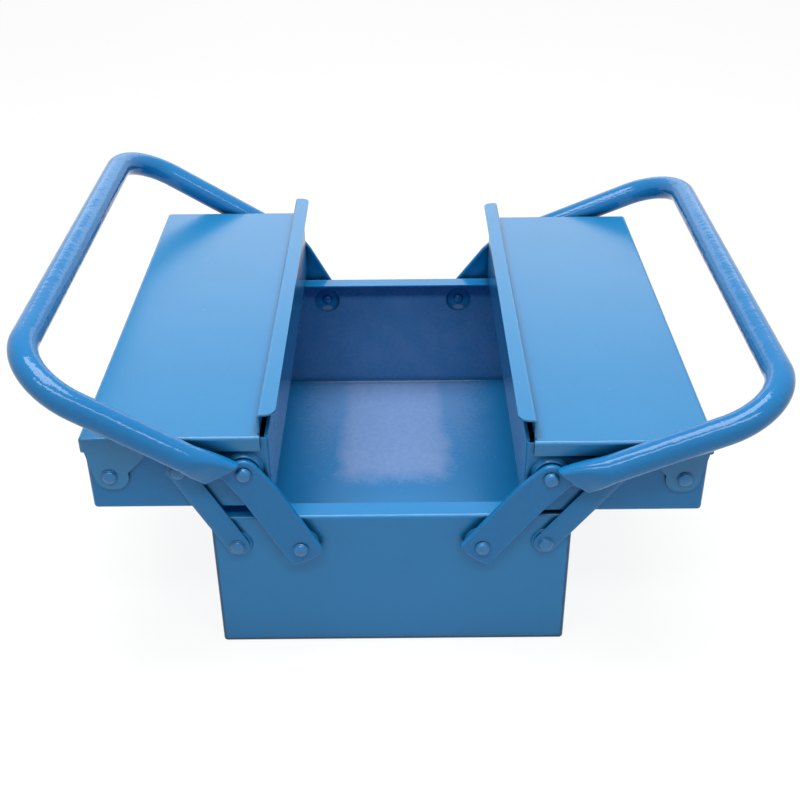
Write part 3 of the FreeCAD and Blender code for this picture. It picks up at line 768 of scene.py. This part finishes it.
# %% Rings of one handle
def leg_rings(arm, way):
    """Rings from inside the flat arm up to the start of the wide bend, at the end that looks along way."""
    rings = []

    def add(u, t, depth_middle, half_width, half_depth, angle):
        rings.append({"centre": arm.place(u, t, way * depth_middle), "across": arm.turned(angle),
                      "outward": Vector((0, way, 0)), "half_width": half_width, "half_depth": half_depth})

    crease_t = link_length + crease_rise
    for u, drop, half_width, depth in crease_rings:
        middle = arm_back + crease_lift + depth / 2 * MM
        add(u * MM, crease_t - drop * MM, middle, half_width * MM, depth / 2 * MM, 0.0)

    full = crease_rise + pinch_length
    full_u, full_t = leg_place(full)
    for step in range(pinch_steps + 1):
        share = step / pinch_steps
        ease = 0.45 * share + 0.55 * smooth(share)
        depth = crease_depth + (2 * skin_radius - crease_depth) * ease
        width = crease_half_width + (skin_radius - crease_half_width) * ease
        seat = arm_back + crease_lift * (1 - share) + (tube_radius - skin_radius) * ease
        add(crease_middle + (full_u - crease_middle) * share, crease_t + (full_t - crease_t) * share,
            seat + depth / 2, width, depth / 2, leg_turn * smooth(share))

    for step in range(1, leg_steps + 1):
        u, t = leg_place(full + (leg_reach - grip_bend - full) * step / leg_steps)
        add(u, t, arm_back + tube_radius, skin_radius, skin_radius, leg_turn)
    return rings


def bend_rings(arm, way):
    """Rings round the wide bend, from the leg to the grip."""
    rings = []
    along, outward = arm.along(leg_turn), Vector((0, way, 0))
    corner = arm.place(*leg_place(leg_reach - grip_bend), way * (arm_back + tube_radius - grip_bend))
    for step in range(1, bend_steps + 1):
        turn = math.radians(90) * step / bend_steps
        radial = outward * math.cos(turn) + along * math.sin(turn)
        rings.append({"centre": corner + radial * grip_bend, "across": arm.turned(leg_turn), "outward": radial,
                      "half_width": skin_radius, "half_depth": skin_radius})
    return rings


def handle_rings(side):
    arm = ArmFrame(side)
    front = leg_rings(arm, -1) + bend_rings(arm, -1)
    back = leg_rings(arm, 1) + bend_rings(arm, 1)
    grip = []
    start, end = front[-1], back[-1]
    for step in range(1, grip_steps):
        grip.append({**start, "centre": start["centre"].lerp(end["centre"], step / grip_steps)})
    return front + grip + back[::-1]


print("rings on a handle:", len(handle_rings("left")))

# %% [markdown]
# ## The flattened arms
#
# Below the crease the tube is a flat bar. Its foot is cut to a shallow arc, and its head narrows round the tray
# rivet on the inner side and flares towards the crease on the outer side. Two layers of tube wall pressed
# together never lie quite flat: the edges stay a little proud, and a low crown is left along the middle.
#
# The bar is built from its outline. First the outline is set in along its own normals while it rises, which rolls
# the edges over. Then it is drawn in towards the line between the two pivots, which can't cross itself however
# far it goes, and the height along the way is what gives the dish and the crown.

# %% Outline of an arm
def arc_points(centre, radius, start, end, count):
    """Points of an arc; angles are measured from the t direction towards u."""
    return [(centre[0] + radius * math.sin(a), centre[1] + radius * math.cos(a))
            for a in (start + (end - start) * step / count for step in range(count + 1))]


def run_points(start, end, count):
    """Points of a straight run, without its end."""
    return [(start[0] + (end[0] - start[0]) * step / count, start[1] + (end[1] - start[1]) * step / count)
            for step in range(count)]


def rounded_corner(before, corner, after, radius, count):
    """Arc that rounds a corner of the outline."""
    way_in = (Vector(corner) - Vector(before)).normalized()
    way_out = (Vector(after) - Vector(corner)).normalized()
    turn = way_in.angle(way_out)
    start = Vector(corner) - way_in * radius * math.tan(turn / 2)
    inward = (way_out - way_in).normalized()
    centre = Vector(corner) + inward * radius / math.cos(turn / 2)
    first = math.atan2(start.x - centre.x, start.y - centre.y)
    return arc_points(tuple(centre), radius, first, first + turn, count)


def arm_outline():
    """Closed outline in u and t, from the inner touch of the head clockwise round the arm."""
    heel, heel_round, heel_run = -7.7 * MM, 2.5 * MM, 4 * MM
    foot_radius, foot_rise = 33.3 * MM, 31.6 * MM
    waist, head_radius = link_length - 15.5 * MM, 8.3 * MM
    shoulder = (12.0 * MM, link_length + 5.9 * MM)
    crown = (0.0, link_length + head_radius)
    head = arc_points((0, link_length), head_radius, math.radians(-82), 0.0, 16)
    outer_waist, outer_heel = (arm_half_width, waist), (arm_half_width, heel)
    inner_heel, inner_waist = (-arm_half_width, heel), (-arm_half_width, waist)
    points = head[:-1] + run_points(crown, shoulder, 6) + run_points(shoulder, outer_waist, 8)
    outer_side, inner_side = (arm_half_width, heel + heel_run), (-arm_half_width, heel + heel_run)
    points += run_points(outer_waist, outer_side, 16)
    foot = arc_points((0, heel + foot_rise), foot_radius, math.radians(165), math.radians(195), 14)
    points += rounded_corner(outer_side, outer_heel, foot[1], heel_round, 6) + foot[2:-2]
    points += rounded_corner(foot[-2], inner_heel, inner_side, heel_round, 6)
    points += run_points(inner_side, inner_waist, 16)
    points += run_points(inner_waist, head[0], 8)
    return points


outline = arm_outline()
print("outline points:", len(outline))

# %% Bars with rolled edges
spine_end, edge_steps = 4 * MM, 6

# The face from its middle line to the rolled edge: share drawn in, and how far it lies below flat, in mm.
face_rows = ((1.0, 0.10), (0.85, 0.12), (0.65, 0.24), (0.45, 0.30), (0.25, 0.22), (0.10, 0.07), (0.0, 0.0))


def inset(outline, distance):
    """The outline moved inwards along its normals."""
    moved = []
    for index, point in enumerate(outline):
        before, after = outline[index - 1], outline[(index + 1) % len(outline)]
        run = Vector((after[0] - before[0], after[1] - before[1])).normalized()
        moved.append((point[0] + run.y * distance, point[1] - run.x * distance))
    return moved


def drawn_in(outline, share):
    """The outline drawn in towards the line between the two pivots."""
    low, high = spine_end, link_length - spine_end
    return [(u * (1 - share), t + (min(max(t, low), high) - t) * share) for u, t in outline]


def flat_bar(work, lift):
    """Adds one arm to a bmesh; lift turns u, t and a depth into a place."""
    rolled = inset(outline, arm_edge)
    rows = [(drawn_in(rolled, share), dip * MM) for share, dip in face_rows]
    for step in range(1, edge_steps + 1):
        turn = math.radians(90) * step / edge_steps
        rows.append((inset(outline, arm_edge * (1 - math.sin(turn))), arm_edge * (1 - math.cos(turn))))
    rows += [(points, arm_thickness - depth) for points, depth in rows[::-1]]
    made = [[work.verts.new(lift(u, t, depth)) for u, t in points] for points, depth in rows]
    count = len(outline)
    for low, high in zip(made, made[1:]):
        for index in range(count):
            other = (index + 1) % count
            work.faces.new((low[index], low[other], high[other], high[index]))


print("arm", round(arm_thickness / MM, 1), "mm thick, its edges rolled over", round(arm_edge / MM, 1), "mm")

# %% Both handles
def make_handle(side):
    arm = ArmFrame(side)
    guide = guide_object("guide_" + side, handle_rings(side))
    mesh = run_tree(guide, handle_tree, {"Sides": 56, "Material": tube_paint})
    work = bmesh.new()
    for way in (-1, 1):
        flat_bar(work, lambda u, t, depth: arm.place(u, t, way * (arm_back + depth)))
    bmesh.ops.remove_doubles(work, verts=work.verts, dist=0.001 * MM)
    bmesh.ops.recalc_face_normals(work, faces=work.faces)
    work.from_mesh(mesh)
    for face in work.faces:
        face.material_index = 0
    work.to_mesh(mesh)
    work.free()
    mesh.materials.clear()
    mesh.materials.append(tube_paint)
    mesh.name = "handle_" + side + "_tube"
    piece = finish_piece(link_piece(mesh.name, mesh), side + "_handle", "tube_enamel", "handle_" + side)
    print(piece.name, len(mesh.polygons), "faces")


for side in ("left", "right"):
    make_handle(side)

# %% [markdown]
# ## Rivets
#
# Twenty rivets hold the box together. Each has a domed head outside and a smaller closed tail inside. They repeat,
# so Geometry Nodes place them: a row of points says where each dome sits, which way it looks, and how wide and
# tall it is, and the tree puts one dome on each point and turns it. A seeded random turn about its own axis keeps
# the ripple in the paint from repeating. All domes that ride on one body become one mesh.

# %% A unit dome
foot_flare, crown_start, dome_steps, least_radius = 1.10, 0.14, 12, 1e-5


def dome_guide():
    """Rings of a dome one unit wide and one unit tall, with a small flare of paint at its foot."""
    profile = [(0.0, 0.0), (foot_flare, 0.0), (foot_flare, 0.015), (1.035, 0.06), (1.0, crown_start)]
    for step in range(1, dome_steps):
        turn = math.radians(90) * step / dome_steps
        profile.append((math.cos(turn) ** 0.86, crown_start + (1 - crown_start) * math.sin(turn) ** 0.95))
    profile.append((0.0, 1.0))
    rings = []
    for radius, height in profile:
        half = max(radius, least_radius)
        rings.append({"centre": Vector((0, 0, height)), "across": Vector((1, 0, 0)), "outward": Vector((0, 1, 0)),
                      "half_width": half, "half_depth": half})
    return rings


rivet_tree = bpy.data.node_groups.new("set_rivets", "GeometryNodeTree")
for label, kind in (("Seats", "NodeSocketGeometry"), ("Dome", "NodeSocketObject"), ("Sides", "NodeSocketInt"),
                    ("Seed", "NodeSocketInt"), ("Material", "NodeSocketMaterial")):
    rivet_tree.interface.new_socket(label, in_out="INPUT", socket_type=kind)
rivet_tree.interface.new_socket("Rivets", in_out="OUTPUT", socket_type="NodeSocketGeometry")
given = rivet_tree.nodes.new("NodeGroupInput").outputs
dome_rings = wire(rivet_tree, "GeometryNodeObjectInfo", {"Object": given["Dome"]}).outputs["Geometry"]
dome_skin = wire(rivet_tree, "GeometryNodeGroup", node_tree=skin_tree)
rivet_tree.links.new(dome_rings, dome_skin.inputs["Guide"])
rivet_tree.links.new(given["Sides"], dome_skin.inputs["Sides"])
way_out = wire(rivet_tree, "GeometryNodeInputNamedAttribute", {"Name": "way"}, data_type="FLOAT_VECTOR")
stand = wire(rivet_tree, "FunctionNodeAlignRotationToVector", {"Vector": way_out.outputs["Attribute"]}, axis="Z")
spin = wire(rivet_tree, "FunctionNodeRandomValue", {"Max": math.tau, "Seed": given["Seed"]}, data_type="FLOAT")
about = wire(rivet_tree, "ShaderNodeCombineXYZ", {"Z": spin.outputs["Value"]})
turn = wire(rivet_tree, "FunctionNodeEulerToRotation", {0: about.outputs[0]})
whole = wire(rivet_tree, "FunctionNodeRotateRotation",
             {"Rotation": stand.outputs[0], "Rotate By": turn.outputs[0]}, rotation_space="LOCAL")
size = wire(rivet_tree, "GeometryNodeInputNamedAttribute", {"Name": "size"}, data_type="FLOAT_VECTOR")
domes = wire(rivet_tree, "GeometryNodeInstanceOnPoints", {
    "Points": given["Seats"], "Instance": dome_skin.outputs["Skin"], "Rotation": whole.outputs[0],
    "Scale": size.outputs["Attribute"]})
real = wire(rivet_tree, "GeometryNodeRealizeInstances", {"Geometry": domes.outputs[0]})
painted = wire(rivet_tree, "GeometryNodeSetMaterial", {"Geometry": real.outputs[0], "Material": given["Material"]})
rivet_tree.links.new(painted.outputs[0], rivet_tree.nodes.new("NodeGroupOutput").inputs["Rivets"])
print("tree", rivet_tree.name)

# %% Set the rivets
head_radius, head_height = 4.4 * MM, 2.5 * MM
tail_radius, tail_height = 3.8 * MM, 1.7 * MM


def rivet_seats(nodes):
    """Two seats for each rivet, read off its CAD solid: one for the head and one for the tail."""
    seats = []
    for node in nodes:
        low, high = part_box(node)
        middle = (low + high) / 2
        way = 1 if middle.y > 0 else -1
        outside, inside = (high.y, low.y) if way > 0 else (low.y, high.y)
        seats.append(((middle.x, outside - way * head_height, middle.z), way, head_radius, head_height))
        seats.append(((middle.x, inside + way * tail_height, middle.z), -way, tail_radius, tail_height))
    return seats


def set_rivets(body, nodes, seed):
    seats = rivet_seats(nodes)
    mesh = bpy.data.meshes.new("seats_" + body)
    mesh.from_pydata([place for place, way, radius, height in seats], [], [])
    ways, sizes = [], []
    for place, way, radius, height in seats:
        ways += [0.0, way, 0.0]
        sizes += [radius / foot_flare, radius / foot_flare, height]
    mesh.attributes.new("way", "FLOAT_VECTOR", "POINT").data.foreach_set("vector", ways)
    mesh.attributes.new("size", "FLOAT_VECTOR", "POINT").data.foreach_set("vector", sizes)
    dome = guide_object("dome_guide", dome_guide())
    carrier = link_piece("seats_" + body, mesh)
    made = run_tree(carrier, rivet_tree, {"Dome": dome, "Sides": 32, "Seed": seed, "Material": rivet_paint})
    bpy.data.objects.remove(dome)
    made.name = body + "_rivets"
    piece = finish_piece(link_piece(made.name, made), body, "rivet_enamel", *nodes)
    print(piece.name, len(nodes), "rivets,", len(made.polygons), "faces")


rivet_nodes = {body: [node for node in members if "rivet" in node]
               for body, members in frame["record"]["behaviour"]["bodies"].items()}
riveted = sorted(body for body, nodes in rivet_nodes.items() if nodes)
for seed, body in enumerate(riveted):
    set_rivets(body, rivet_nodes[body], seed)

# %% [markdown]
# ## Closing
#
# The visual model is meant to keep the CAD model's size, so both boxes are measured and printed side by side.

# %% Sizes and finish
made_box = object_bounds()
sizes = {"cad": [list(cad_box[0]), list(cad_box[1])], "visual": [list(made_box[0]), list(made_box[1])]}
for name, (low, high) in sizes.items():
    print(name, [round((b - a) * 1000, 2) for a, b in zip(low, high)], "mm")
